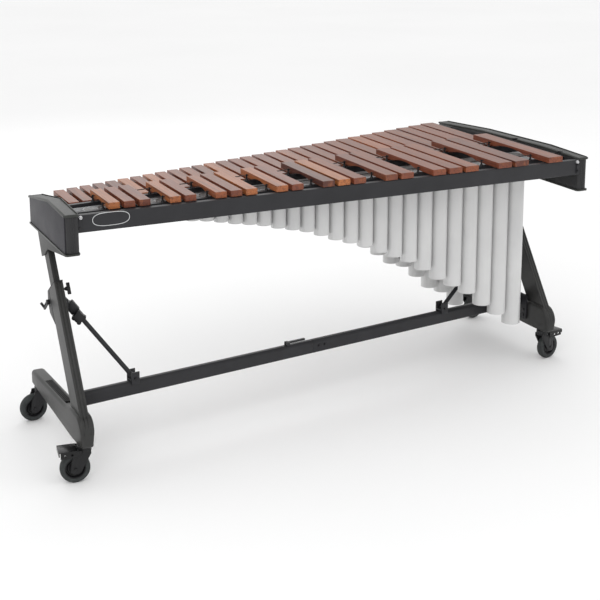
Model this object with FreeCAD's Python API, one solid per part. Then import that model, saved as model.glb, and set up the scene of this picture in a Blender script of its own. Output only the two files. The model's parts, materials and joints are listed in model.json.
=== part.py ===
import FreeCAD, Part
import math
import os

# A concert marimba of four and a third octaves (A2 to C7) on a height-adjustable wheeled frame.
# +X points to the bass end, +Y to the player, +Z up. The layout below is drawn with X = 0 at the
# middle of the natural bars, and ORIGIN moves it so that the part's origin is under its middle.

Vec = FreeCAD.Vector
ORIGIN = Vec(41.547, 450.424, 0)

# Keyboard
FIRST_NOTE = 45
LAST_NOTE = 96
NATURAL_STEPS = (0, 2, 4, 5, 7, 9, 11)
KEY_SPAN = 1800.0
PITCH_GROWTH = 0.0035
PITCH_CURVE = 0.00049
BAR_GAP = 14.0
BAR_THICK = 21.0
NATURAL_TOP = 869.0
ACCIDENTAL_TOP = 906.0
BAR_EDGE = 1.4
# Each line below is (Y at X = 0, slope, curvature) for a row of bar ends.
ACCIDENTAL_NEAR = (0.0, -0.042, 1.17e-5)
ACCIDENTAL_FAR = (353.0, 0.134, 0.82e-5)
NATURAL_NEAR = (336.0, 0.106, 0.40e-5)
NATURAL_FAR = (688.4, 0.283, 0.55e-5)
# The four cords and the post rails under them run straight.
CORD_LINES = {
    "accidental_near": (82.0, -0.003),
    "accidental_far": (276.0, 0.0946),
    "natural_near": (416.0, 0.1456),
    "natural_far": (611.0, 0.2434),
}
CORD_R = 1.6
CORD_HOLE_R = 2.8

# Rails and end blocks
BLOCK_THICK = 46.0
HIGH_BLOCK_X = -983.0
LOW_BLOCK_X = 1055.0
BLOCK_BOTTOM = 764.0
HIGH_ROOF = [(-4, 884), (200, 892), (452, 851)]
LOW_ROOF = [(-17, 880), (210, 887), (640, 878), (975, 858)]
PANEL_THICK = 4.0
CAP_THICK = 7.0
CAP_LIP = 3.0
BASE_THICK = 6.0
BEAM_HEIGHT = 58.0
BEAM_THICK = 24.0
BEAM_BOTTOM = 825.0
BEAM_FRONT = (-3.0, -0.019)
PLAYER_BEAM_TOP = 844.0
SEAM_X = -15.0
RAIL_WIDE = 18.0
RAIL_TALL = 34.0
RAIL_DROP = 8.0
POST_R = 3.0
POST_BOOT_R = 6.5

# Resonators
SOUND_SPEED = 345000.0
TUBE_WALL = 1.5
TUBE_FILL = 0.955
TUBE_TOP_GAP = {"accidental": 19.0, "natural": 12.0}
TUBE_SHORTENING = 0.085
TUBE_STOP = 4.0
STRIP_THICK = 2.5
STRIP_TALL = 22.0

# Stands: one at each end, of the same shape
STAND_X = {"high": -955.0, "low": 1037.0}
STAND_SETBACK = {"high": 0.0, "low": 222.0}
MAST_LEAN = math.radians(33.7)
MAST_FRONT_Y = 8.0
MAST_FRONT_Z = 303.0
MAST_DEEP = 92.0
MAST_WIDE = 30.0
MAST_FOOT_Z = 226.0
MAST_TOP_Z = 612.0
SLIDER_DEEP = 54.0
SLIDER_WIDE = 22.0
SLIDER_LAP = 175.0
SLIDE_FIT = 0.5
FOOT_WIDE = 50.0
FOOT_BOTTOM = 128.0
FOOT_TOP = (120.0, 212.0)
FOOT_REAR_TOP = 176.0
TREAD_SPAN = (152.0, 410.0)
FOOT_REAR = 578.0
SWIVEL_Y = {"front": -20.0, "rear": 530.0}

# Crossbar and struts
CROSSBAR_Y = 105.0
CROSSBAR_TOP = 247.0
CROSSBAR_TALL = 48.0
CROSSBAR_THICK = 32.0
CROSSBAR_CHAMFER = 9.0
CROSSBAR_JOINT_X = -8.0
SPIGOT_REACH = 70.0
LEVER_X = -112.0
LEVER_LONG = 76.0
CROSSBAR_WALL = 3.0
STRUT_TOP_OUT = 30.0
STRUT_TOP_Y = 214.0
STRUT_TOP_Z = 533.0
STRUT_FOOT_X = {"high": -728.0, "low": 608.0}
STRUT_FOOT_RISE = 10.5
STRUT_SLEEVE = 42.0
STRUT_SLEEVE_DEEP = 32.0
STRUT_SLEEVE_WIDE = 20.0
STRUT_INNER_R = 8.0

# Casters
WHEEL_R = 50.0
WHEEL_WIDE = 28.0
HUB_R = 35.0
AXLE_R = 5.0
RUNNING_FIT = 0.05
TRAIL = 32.0
STEM_R = 6.0
STEM_REACH = 34.0
CASTERS = {
    "high_front": ("high", "front", 172.0, True),
    "high_rear": ("high", "rear", 186.0, False),
    "low_front": ("low", "front", 12.0, True),
    "low_rear": ("low", "rear", 8.0, False),
}
PEDAL_PIVOT = (22.0, 112.0)
PEDAL_HALF = 31.0
PEDAL_PIN_R = 3.0

UP_MAST = Vec(0, math.sin(MAST_LEAN), math.cos(MAST_LEAN))
ACROSS_MAST = Vec(0, math.cos(MAST_LEAN), -math.sin(MAST_LEAN))
X_AXIS = Vec(1, 0, 0)
Y_AXIS = Vec(0, 1, 0)
Z_AXIS = Vec(0, 0, 1)


def box(x0, x1, y0, y1, z0, z1):
    return Part.makeBox(x1 - x0, y1 - y0, z1 - z0, Vec(x0, y0, z0))


def rod(start, end, radius):
    run = end - start
    return Part.makeCylinder(radius, run.Length, start, run)


def side_prism(points, x0, x1):
    """A solid whose outline is a list of (y, z) corners, between two X planes."""
    corners = [Vec(x0, y, z) for y, z in points]
    face = Part.Face(Part.makePolygon(corners + corners[:1]))
    return face.extrude(Vec(x1 - x0, 0, 0))


def oriented_box(centre, along, across, up, size):
    """A box of the given size about a centre, with its edges along three unit vectors."""
    block = Part.makeBox(*size, Vec(-size[0] / 2, -size[1] / 2, -size[2] / 2))
    turn = FreeCAD.Matrix(
        along.x, across.x, up.x, centre.x,
        along.y, across.y, up.y, centre.y,
        along.z, across.z, up.z, centre.z,
        0, 0, 0, 1,
    )
    return block.transformed(turn)


def fillet_where(shape, radius, keep):
    edges = [edge for edge in shape.Edges if keep(edge)]
    return shape.makeFillet(radius, edges)


def runs_along(edge, axis):
    if edge.Curve.TypeId != "Part::GeomLine":
        return False
    return abs(edge.Curve.Direction.dot(axis)) > 0.999


def unit(vector):
    return vector / vector.Length


def line_y(line, x):
    return sum(term * x ** power for power, term in enumerate(line))


def export(name, solids):
    shape = Part.makeCompound([solid for whole in solids for solid in whole.Solids])
    shape.translate(-ORIGIN)
    shape.exportStep("parts/" + name + ".step")


# ---------------------------------------------------------------- keyboard

def is_natural(note):
    return note % 12 in NATURAL_STEPS


def natural_layout():
    """(left X, width) of each natural bar, from the bass end to the treble end."""
    count = sum(is_natural(note) for note in range(FIRST_NOTE, LAST_NOTE + 1))
    weights = [1 + PITCH_GROWTH * k + PITCH_CURVE * k * k for k in range(count)]
    scale = KEY_SPAN / sum(weights[:-1])
    bars = []
    left = -KEY_SPAN / 2
    for weight in weights:
        bars.append((left, weight * scale - BAR_GAP))
        left += weight * scale
    return bars[::-1]


def keyboard():
    """One entry per bar: note, row, centre X, width, near end Y and far end Y."""
    naturals = natural_layout()
    bars = []
    seen = 0
    for note in range(FIRST_NOTE, LAST_NOTE + 1):
        if is_natural(note):
            left, width = naturals[seen]
            centre = left + width / 2
            row = "natural"
            ends = (NATURAL_NEAR, NATURAL_FAR)
            seen += 1
        else:
            below = naturals[seen - 1]
            above = naturals[seen]
            width = (below[1] + above[1]) / 2
            centre = (below[0] + below[1] / 2 + above[0] + above[1] / 2) / 2
            row = "accidental"
            ends = (ACCIDENTAL_NEAR, ACCIDENTAL_FAR)
        near, far = (line_y(line, centre) for line in ends)
        bars.append({"note": note, "row": row, "x": centre, "width": width, "near": near, "far": far})
    return bars


def bar_top(row):
    return NATURAL_TOP if row == "natural" else ACCIDENTAL_TOP


def bar_solid(bar):
    """A tone bar: flat on top, arched below between its two cord holes."""
    top = bar_top(bar["row"])
    low = top - BAR_THICK
    length = bar["far"] - bar["near"]
    arch = min(13.0, 4.0 + 0.020 * length)
    arch_from = bar["near"] + 0.30 * length
    arch_to = bar["far"] - 0.30 * length
    x0 = bar["x"] - bar["width"] / 2
    corners = [Vec(x0, bar["near"], low), Vec(x0, bar["near"], top), Vec(x0, bar["far"], top)]
    corners += [Vec(x0, bar["far"], low), Vec(x0, arch_to, low)]
    edges = [Part.LineSegment(a, b).toShape() for a, b in zip(corners, corners[1:])]
    crown = Vec(x0, (arch_from + arch_to) / 2, low + arch)
    arch_start = Vec(x0, arch_from, low)
    edges.append(Part.Arc(corners[-1], crown, arch_start).toShape())
    edges.append(Part.LineSegment(arch_start, corners[0]).toShape())
    solid = Part.Face(Part.Wire(edges)).extrude(Vec(bar["width"], 0, 0))
    solid = fillet_where(solid, BAR_EDGE, lambda edge: edge.BoundBox.ZMin > top - 0.01)
    for line in cord_lines_of(bar["row"]):
        start, end = (cord_point(line, bar["row"], x0 + reach) for reach in (-5, bar["width"] + 5))
        solid = solid.cut(rod(start, end, CORD_HOLE_R))
    return solid


def cord_lines_of(row):
    return [CORD_LINES[row + "_near"], CORD_LINES[row + "_far"]]


def cord_point(line, row, x):
    return Vec(x, line_y(line, x), bar_top(row) - BAR_THICK / 2)


def bar_groups(bars):
    """Bars by row and octave; the few below the first full octave join it."""
    groups = {}
    for bar in bars:
        octave = min(6, max(3, bar["note"] // 12 - 1))
        groups.setdefault("bars_%s_octave_%d" % (bar["row"], octave), []).append(bar_solid(bar))
    return groups


# ---------------------------------------------------------------- cords, posts and rails

def inner_ends():
    return HIGH_BLOCK_X + BLOCK_THICK, LOW_BLOCK_X - BLOCK_THICK


def cord_starts(bars):
    """Where each row's cords begin at the treble end: the accidental ones just past their last post."""
    last_post = min(x for row, line, x in post_places(bars) if row == "accidental")
    return {"accidental": last_post - 7, "natural": inner_ends()[0] + 12}


def cord_solids(bars):
    x1 = inner_ends()[1]
    solids = []
    for row, start in cord_starts(bars).items():
        for line in cord_lines_of(row):
            solids.append(rod(cord_point(line, row, start), cord_point(line, row, x1 - 34), CORD_R))
    return solids


def spring_solids():
    """A spring and a hook at the bass end of each cord, and a hook at the naturals' treble end."""
    x1 = inner_ends()[1]
    coil_r = 4.2
    wire_r = 0.8
    pitch = 2.6
    turns = 8
    springs = []
    hooks = []
    for row in ("accidental", "natural"):
        for line in cord_lines_of(row):
            middle = cord_point(line, row, x1 - 33)
            helix = Part.makeHelix(pitch, pitch * turns, coil_r)
            section = Part.Wire(Part.Circle(Vec(coil_r, 0, 0), Y_AXIS, wire_r).toShape())
            coil = Part.Wire(helix).makePipeShell([section], True, True)
            coil.rotate(Vec(), Y_AXIS, 90)
            coil.translate(middle)
            springs.append(coil)
            hook_end = cord_point(line, row, x1 - 3)
            hooks.append(rod(middle + Vec(pitch * turns + 1, 0, 0), hook_end, 2.0))
            if row == "natural":
                start = cord_point(line, row, inner_ends()[0] + 3)
                hooks.append(rod(start, start + Vec(8.5, 0, 0), 2.0))
    return springs + hooks


def rail_top(row):
    return bar_top(row) - BAR_THICK - RAIL_DROP


def straight_rail(line, x0, x1, wide, top, tall):
    """A rail between two X planes, level, whose middle follows a straight line in plan."""
    half = wide / 2
    corners = [
        Vec(x0, line_y(line, x0) - half, top), Vec(x1, line_y(line, x1) - half, top),
        Vec(x1, line_y(line, x1) + half, top), Vec(x0, line_y(line, x0) + half, top),
    ]
    face = Part.Face(Part.makePolygon(corners + corners[:1]))
    return face.extrude(Vec(0, 0, -tall))


def in_halves(make):
    """The frame parts at SEAM_X for transport, so each rail is two pieces end to end."""
    x0, x1 = inner_ends()
    return [make(x0, SEAM_X), make(SEAM_X, x1)]


def post_rails():
    rails = []
    for row in ("accidental", "natural"):
        for line in cord_lines_of(row):
            top = rail_top(row)
            rails += in_halves(lambda a, b: straight_rail(line, a, b, RAIL_WIDE, top, RAIL_TALL))
    return rails


def beam_solid(line, x0, x1, top):
    """A frame beam: a rectangular tube with a rounded lip and one long groove on each face."""
    solid = straight_rail(line, x0, x1, BEAM_THICK, top, BEAM_HEIGHT)
    along = unit(Vec(1, line[1], 0))
    solid = fillet_where(solid, 3.0, lambda edge: runs_along(edge, along))
    hollow = straight_rail(line, x0 + 1, x1 - 1, BEAM_THICK - 6, top - 3, BEAM_HEIGHT - 6)
    return solid.cut(hollow)


def audience_line():
    return (BEAM_FRONT[0] + BEAM_THICK / 2, BEAM_FRONT[1])


def player_line():
    return (NATURAL_FAR[0] - BEAM_THICK / 2, NATURAL_FAR[1])


def seam_plates():
    """Two joining plates across the seam of each beam, on its inner face."""
    plates = []
    for line, top, side in (
        (audience_line(), BEAM_BOTTOM + BEAM_HEIGHT, 1),
        (player_line(), PLAYER_BEAM_TOP, -1),
    ):
        middle = (line[0] + side * (BEAM_THICK / 2 + 2), line[1])
        plates.append(straight_rail(middle, SEAM_X - 70, SEAM_X + 70, 4, top - 10, BEAM_HEIGHT - 20))
    return plates


def post_places(bars):
    """The middle of the gap on each side of every bar, so that each cord is held beside each bar."""
    places = []
    for row in ("accidental", "natural"):
        edges = set()
        for bar in (bar for bar in bars if bar["row"] == row):
            for side in (-1, 1):
                edges.add(round(bar["x"] + side * (bar["width"] + BAR_GAP) / 2, 1))
        kept = []
        for x in sorted(edges):
            if not kept or x - kept[-1] > BAR_GAP:
                kept.append(x)
        places += [(row, line, x) for line in cord_lines_of(row) for x in kept]
    return places


def post_solid(row):
    """A cord post standing at the origin of its rail: a pin, a rubber boot and a notch for the cord."""
    reach = RAIL_DROP + BAR_THICK / 2
    pin = Part.makeCylinder(POST_R, reach + 4)
    boot = Part.makeCone(POST_BOOT_R, POST_R + 1, RAIL_DROP - 1)
    notch = box(-POST_R - 1, POST_R + 1, -CORD_R - 0.1, CORD_R + 0.1, reach - CORD_R - 0.1, reach + 5)
    return pin.fuse(boot).removeSplitter().cut(notch)


def post_solids(bars):
    forms = {row: post_solid(row) for row in ("accidental", "natural")}
    x0, x1 = inner_ends()
    posts = []
    for row, line, x in post_places(bars):
        if not x0 + 8 < x < x1 - 40:
            continue
        post = forms[row].copy()
        post.rotate(Vec(), Z_AXIS, math.degrees(math.atan(line[1])))
        post.translate(Vec(x, line_y(line, x), rail_top(row)))
        posts.append(post)
    return posts


# ---------------------------------------------------------------- end blocks

def block_outline(roof, rise=0.0, grow=0.0):
    """The block's side outline: flat below, a shallow roof above, shallower towards the player."""
    front, back = roof[0][0] - grow, roof[-1][0] + grow
    top = [(y, z + rise) for y, z in roof]
    top[0] = (front, top[0][1])
    top[-1] = (back, top[-1][1])
    return top, front, back


def block_solid(roof, x0, x1):
    top, front, back = block_outline(roof)
    solid = side_prism([(back, BLOCK_BOTTOM), (front, BLOCK_BOTTOM)] + top, x0, x1)
    return fillet_where(solid, 12.0, lambda edge: runs_along(edge, Z_AXIS) and edge.BoundBox.YMax < front + 1)


def panel_solid(roof, x0, x1):
    """The facing on the block's outer side, set back from the block's rounded front edge."""
    inset = 13.0
    points = [(roof[0][0] + inset, roof[0][1])] + roof[1:-1] + [(roof[-1][0], roof[-1][1])]
    points[0] = (points[0][0], points[0][1] + inset * (roof[1][1] - roof[0][1]) / (roof[1][0] - roof[0][0]))
    outline = [(points[-1][0], BLOCK_BOTTOM), (points[0][0], BLOCK_BOTTOM)] + points
    return side_prism(outline, x0, x1)


def cap_solid(roof, x0, x1):
    """The cover along the block's top, a little wider than the block all round."""
    lower, front, back = block_outline(roof, 0.0, CAP_LIP)
    upper = [(y, z + CAP_THICK) for y, z in reversed(lower)]
    solid = side_prism(lower + upper, x0, x1)
    solid = fillet_where(solid, 12.0, lambda edge: runs_along(edge, Z_AXIS) and edge.BoundBox.YMax < front + 1)
    return fillet_where(solid, 2.0, lambda edge: edge.BoundBox.ZMin > roof[-1][1] + CAP_THICK - 1
                        and not runs_along(edge, X_AXIS))


def base_solid(roof, x0, x1):
    front, back = roof[0][0] - CAP_LIP, roof[-1][0] + CAP_LIP
    solid = box(x0, x1, front, back, BLOCK_BOTTOM - BASE_THICK, BLOCK_BOTTOM)
    return fillet_where(solid, 12.0, lambda edge: runs_along(edge, Z_AXIS) and edge.BoundBox.YMax < front + 1)


def end_parts():
    """Block, facing panel, cap and base of each end."""
    parts = {}
    top = BEAM_BOTTOM + BEAM_HEIGHT
    beams = in_halves(lambda a, b: straight_rail(audience_line(), a, b, BEAM_THICK, top, BEAM_HEIGHT))
    for end, outer, roof in (("high", HIGH_BLOCK_X, HIGH_ROOF), ("low", LOW_BLOCK_X, LOW_ROOF)):
        side = 1 if end == "high" else -1
        inner = outer + side * BLOCK_THICK
        skin = outer + side * PANEL_THICK
        parts[end] = {
            "block": block_solid(roof, *sorted((skin, inner))),
            "panel": panel_solid(roof, *sorted((outer, skin))),
            "cap": cap_solid(roof, *sorted((outer - side * CAP_LIP, inner + side * 2))).cut(beams),
            "base": base_solid(roof, *sorted((outer - side * CAP_LIP, inner + side * 2))),
        }
    return parts


def beam_bracket_solids():
    """The angle that bolts each end of each beam to the end block, with its bolt head."""
    brackets = []
    bolts = []
    for line, top in ((audience_line(), BEAM_BOTTOM + BEAM_HEIGHT), (player_line(), PLAYER_BEAM_TOP)):
        side = -1 if top > PLAYER_BEAM_TOP else 1
        for x, step in zip(inner_ends(), (1, -1)):
            outer = (line[0] + side * (BEAM_THICK + 2.5) / 2, line[1])
            span = sorted((x, x + step * 13))
            brackets.append(straight_rail(outer, *span, 2.5, top - 6, BEAM_HEIGHT - 12))
            normal = unit(Vec(-line[1], 1, 0)) * side
            middle = Vec(x + step * 7, line_y(outer, x + step * 7) + side * 1.25, top - 16)
            bolts.append(Part.makeCylinder(4.5, 3.5, middle, normal))
            bolts.append(Part.makeCylinder(4.5, 3.5, middle - Vec(0, 0, 26), normal))
    return brackets, bolts


# ---------------------------------------------------------------- resonators

def tube_places(bars):
    """One tube under every bar, and silent tubes where the accidental row has no bar."""
    naturals = [bar for bar in bars if bar["row"] == "natural"]
    places = []
    for k, bar in enumerate(naturals):
        pitch = bar["width"] + BAR_GAP
        places.append(("natural", bar["note"], bar["x"], pitch, (bar["near"] + bar["far"]) / 2))
        if k + 1 == len(naturals):
            break
        above = naturals[k + 1]
        x = (bar["x"] + above["x"]) / 2
        pitch = bar["x"] - above["x"]
        near, far = (line_y(line, x) for line in (ACCIDENTAL_NEAR, ACCIDENTAL_FAR))
        places.append(("accidental", (bar["note"] + above["note"]) / 2, x, pitch, (near + far) / 2))
    return places


def tube_length(note):
    """A quarter of the note's wavelength, less an end correction that grows with the tube."""
    quarter = SOUND_SPEED / 4 / (440 * 2 ** ((note - 69) / 12))
    return quarter * (1 - TUBE_SHORTENING * quarter / 1000) - 3


def tube_solids(bars):
    rows = {"natural": [], "accidental": []}
    stops = []
    for row, note, x, pitch, y in tube_places(bars):
        radius = pitch / 2 * TUBE_FILL
        top = bar_top(row) - BAR_THICK - TUBE_TOP_GAP[row]
        low = top - tube_length(note)
        base = Vec(x, y, low)
        tube = Part.makeCylinder(radius, top - low, base)
        tube = tube.cut(Part.makeCylinder(radius - TUBE_WALL, top - low + 2, base - Vec(0, 0, 1)))
        rows[row].append(tube)
        stops.append(Part.makeCylinder(radius - TUBE_WALL, TUBE_STOP, base + Vec(0, 0, 1)))
    return rows, stops


def strip_solids(bars):
    """The two flat strips that carry each row of tubes, following the tubes' sides."""
    strips = []
    places = tube_places(bars)
    x0, x1 = inner_ends()
    for row in ("accidental", "natural"):
        mine = [place for place in places if place[0] == row]
        top = bar_top(row) - BAR_THICK - TUBE_TOP_GAP[row] + 2
        for side in (-1, 1):
            ends = []
            for place in (mine[0], mine[-1]):
                ends.append((place[2], place[4] + side * (place[3] / 2 * TUBE_FILL + STRIP_THICK)))
            slope = (ends[0][1] - ends[1][1]) / (ends[0][0] - ends[1][0])
            sag = max(side * (place[4] + side * (place[3] / 2 * TUBE_FILL + STRIP_THICK))
                      - side * (ends[0][1] + slope * (place[2] - ends[0][0])) for place in mine)
            line = (ends[0][1] - slope * ends[0][0] + side * sag, slope)
            strips += in_halves(lambda a, b: straight_rail(line, a, b, STRIP_THICK, top, STRIP_TALL))
    return strips


# ---------------------------------------------------------------- stands

def mast_point(end, across, up, out=0.0):
    """A point on a stand: across the mast from its front face, up along it from MAST_FRONT_Z."""
    base = Vec(STAND_X[end] + out, MAST_FRONT_Y + STAND_SETBACK[end], MAST_FRONT_Z)
    return base + ACROSS_MAST * across + UP_MAST * up


def mast_reach(z):
    """How far up the mast its front face meets a height."""
    return (z - MAST_FRONT_Z) / UP_MAST.z


def mast_box(end, across0, across1, up0, up1, wide):
    centre = mast_point(end, (across0 + across1) / 2, (up0 + up1) / 2)
    return oriented_box(centre, X_AXIS, ACROSS_MAST, UP_MAST, (wide, across1 - across0, up1 - up0))


def mast_solid(end):
    """The fixed outer mast: a deep leaning tube with grooves down its front and back faces."""
    top = mast_reach(MAST_TOP_Z)
    bottom = mast_reach(MAST_FOOT_Z) - 80
    solid = mast_box(end, 0, MAST_DEEP, bottom, top, MAST_WIDE)
    solid = fillet_where(solid, 4.0, lambda edge: runs_along(edge, UP_MAST))
    for across in (0, MAST_DEEP):
        for out in (-5.5, 5.5):
            centre = mast_point(end, across, (bottom + top) / 2, out)
            solid = solid.cut(oriented_box(centre, X_AXIS, ACROSS_MAST, UP_MAST, (3.5, 4.0, top - bottom + 4)))
    inner = (MAST_DEEP - SLIDER_DEEP) / 2 - SLIDE_FIT
    solid = solid.cut(mast_box(end, inner, MAST_DEEP - inner, bottom + 60, top + 5,
                               SLIDER_WIDE + 2 * SLIDE_FIT))
    setback = STAND_SETBACK[end]
    below = box(STAND_X[end] - 40, STAND_X[end] + 40, setback - 300, setback + 300, 0, MAST_FOOT_Z)
    return solid.cut(below)


def collar_solid(end):
    """The lock housing: a lid over the mast's top and a hump down its back for the clamp."""
    top = mast_reach(MAST_TOP_Z)
    points = [(-1, top + 4), (MAST_DEEP + 18, top + 4), (MAST_DEEP + 40, top - 26), (MAST_DEEP + 43, top - 68),
              (MAST_DEEP, top - 122), (MAST_DEEP, top), (-1, top)]
    corners = [mast_point(end, across, up, -MAST_WIDE / 2) for across, up in points]
    face = Part.Face(Part.makePolygon(corners + corners[:1]))
    solid = face.extrude(Vec(MAST_WIDE, 0, 0))
    inner = (MAST_DEEP - SLIDER_DEEP) / 2 - SLIDE_FIT
    return solid.cut(mast_box(end, inner, MAST_DEEP - inner, top - 2, top + 6, SLIDER_WIDE + 2 * SLIDE_FIT))


def slider_solid(end):
    """The inner tube that carries the keyboard frame and slides in the mast."""
    inner = (MAST_DEEP - SLIDER_DEEP) / 2
    top = mast_reach(MAST_TOP_Z)
    solid = mast_box(end, inner, MAST_DEEP - inner, top - SLIDER_LAP, top + 300, SLIDER_WIDE)
    solid = fillet_where(solid, 2.0, lambda edge: runs_along(edge, UP_MAST))
    for across in (inner, MAST_DEEP - inner):
        centre = mast_point(end, across, top, 0)
        solid = solid.cut(oriented_box(centre, X_AXIS, ACROSS_MAST, UP_MAST, (6.0, 4.0, 1000)))
    setback = STAND_SETBACK[end]
    above = box(STAND_X[end] - 40, STAND_X[end] + 40, setback, setback + 900, BLOCK_BOTTOM - BASE_THICK, 1200)
    return solid.cut(above)


def mast_bracket_solid(end):
    """Two gusset plates and a top flange that hold the inner tube under the end block."""
    setback = STAND_SETBACK[end]
    top = BLOCK_BOTTOM - BASE_THICK
    outline = [(52, top), (412, top), (362, 662), (334, 672), (282, 708), (160, 727), (60, 741)]
    outline = [(y + setback, z) for y, z in outline]
    half = SLIDER_WIDE / 2
    plates = [
        side_prism(outline, STAND_X[end] + side * half, STAND_X[end] + side * (half + 5))
        for side in (-1, 1)
    ]
    flange = box(STAND_X[end] - half, STAND_X[end] + half, setback + 52, setback + 300, top - 5, top)
    return plates[0].fuse(plates[1]).fuse(flange).removeSplitter()


def foot_solid(end):
    """The foot: a deep level arm with a swan-neck nose over the front caster."""
    x0 = STAND_X[end] - FOOT_WIDE / 2
    setback = STAND_SETBACK[end]

    def at(y, z):
        return Vec(x0, y + setback, z)

    edges = [
        Part.LineSegment(at(FOOT_REAR, FOOT_BOTTOM), at(-52, FOOT_BOTTOM)),
        Part.Arc(at(-52, FOOT_BOTTOM), at(-78, 168), at(-60, 212)),
        Part.Arc(at(-60, 212), at(-49.5, 221.5), at(-34, MAST_FOOT_Z)),
        Part.LineSegment(at(-34, MAST_FOOT_Z), at(70, MAST_FOOT_Z)),
        Part.Arc(at(70, MAST_FOOT_Z), at(96, 217.5), at(*FOOT_TOP)),
        Part.LineSegment(at(*FOOT_TOP), at(FOOT_REAR, FOOT_REAR_TOP)),
        Part.LineSegment(at(FOOT_REAR, FOOT_REAR_TOP), at(FOOT_REAR, FOOT_BOTTOM)),
    ]
    wire = Part.Wire([edge.toShape() for edge in edges])
    solid = Part.Face(wire).extrude(Vec(FOOT_WIDE, 0, 0))
    rear = FOOT_REAR + setback
    solid = fillet_where(solid, 23.0, lambda edge: runs_along(edge, Z_AXIS) and edge.BoundBox.YMin > rear - 1)
    for place in SWIVEL_Y.values():
        bore = Vec(STAND_X[end], place + setback, FOOT_BOTTOM - 1)
        solid = solid.cut(Part.makeCylinder(STEM_R + RUNNING_FIT, STEM_REACH + 3, bore))
    tread = tread_solid(end)
    return solid.cut(tread)


def foot_top(y):
    """The height of the foot's sloping top."""
    return FOOT_TOP[1] + (y - FOOT_TOP[0]) * (FOOT_REAR_TOP - FOOT_TOP[1]) / (FOOT_REAR - FOOT_TOP[0])


def tread_solid(end):
    """The ribbed rubber strip let into the top of the foot."""
    x = STAND_X[end]

    def strip(y0, y1, low, high, x0, x1):
        outline = [(y0, foot_top(y0) + low), (y1, foot_top(y1) + low),
                   (y1, foot_top(y1) + high), (y0, foot_top(y0) + high)]
        return side_prism([(y + STAND_SETBACK[end], z) for y, z in outline], x0, x1)

    y0, y1 = TREAD_SPAN
    solid = strip(y0, y1, -5, 1, x - 12, x + 12)
    for out in (-6, 0, 6):
        solid = solid.cut(strip(y0 - 1, y1 + 1, -1.5, 2, x + out - 1.2, x + out + 1.2))
    return solid


def crossbar_line():
    """(Y at X = 0, slope) of the crossbar's middle: it runs askew, as the stands are staggered."""
    span = STAND_X["low"] - STAND_X["high"]
    slope = (STAND_SETBACK["low"] - STAND_SETBACK["high"]) / span
    middle = CROSSBAR_Y + CROSSBAR_THICK / 2
    return (middle - slope * (STAND_X["high"] + MAST_WIDE / 2), slope)


def crossbar_half(x0, x1):
    line = crossbar_line()
    solid = straight_rail(line, x0, x1, CROSSBAR_THICK, CROSSBAR_TOP, CROSSBAR_TALL)
    along = unit(Vec(1, line[1], 0))
    top_edges = [edge for edge in solid.Edges
                 if runs_along(edge, along) and edge.BoundBox.ZMin > CROSSBAR_TOP - 1]
    solid = solid.makeChamfer(CROSSBAR_CHAMFER, top_edges)
    low_edges = [edge for edge in solid.Edges
                 if runs_along(edge, along) and edge.BoundBox.ZMax < CROSSBAR_TOP - CROSSBAR_TALL + 1]
    solid = solid.makeFillet(4.0, low_edges)
    return solid.cut(crossbar_bore(x0 - 1, x1 + 1, 0))


def crossbar_bore(x0, x1, gap):
    """The crossbar's hollow, or with a gap the spigot that fills it."""
    wide = CROSSBAR_THICK - 2 * (CROSSBAR_WALL + gap)
    top = CROSSBAR_TOP - CROSSBAR_CHAMFER - gap
    bottom = CROSSBAR_TOP - CROSSBAR_TALL + CROSSBAR_WALL + gap
    return straight_rail(crossbar_line(), x0, x1, wide, top, top - bottom)


def crossbar_ends():
    plate = 8.0
    x0 = STAND_X["high"] + FOOT_WIDE / 2 + plate
    x1 = STAND_X["low"] - FOOT_WIDE / 2 - plate
    return x0, x1, plate


def crossbar_plates():
    """The plate at each end of the crossbar, on a shoe bolted to the foot, and the bolt heads."""
    x0, x1, plate = crossbar_ends()
    line = crossbar_line()
    plates = []
    bolts = []
    for x, step in ((x0, -1), (x1, 1)):
        y = line_y(line, x)
        span = sorted((x, x + step * plate))
        shape = box(*span, y - 62, y + 40, FOOT_BOTTOM + 22, CROSSBAR_TOP + 8)
        plates.append(fillet_where(shape, 14.0, lambda edge: runs_along(edge, X_AXIS)))
        for dy, z in ((-46, 166), (-46, 190), (27, 166), (27, 190)):
            bolts.append(Part.makeCylinder(6.0, 4.0, Vec(x, y + dy, z), X_AXIS * -step))
    return plates, bolts


def crossbar_spigot():
    """The block inside the crossbar that joins its two halves, and the bolts that hold it."""
    line = crossbar_line()
    spigot = crossbar_bore(CROSSBAR_JOINT_X - SPIGOT_REACH, CROSSBAR_JOINT_X + SPIGOT_REACH, 0.0)
    along = unit(Vec(1, line[1], 0))
    across = Vec(-along.y, along.x, 0)
    bolts = []
    for x in (CROSSBAR_JOINT_X + 26, CROSSBAR_JOINT_X + 52):
        face = Vec(x, line_y(line, x), CROSSBAR_TOP - CROSSBAR_TALL / 2) - across * (CROSSBAR_THICK / 2)
        bolts.append(Part.makeCylinder(5.5, 3.5, face, -across))
    return spigot, bolts


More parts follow.
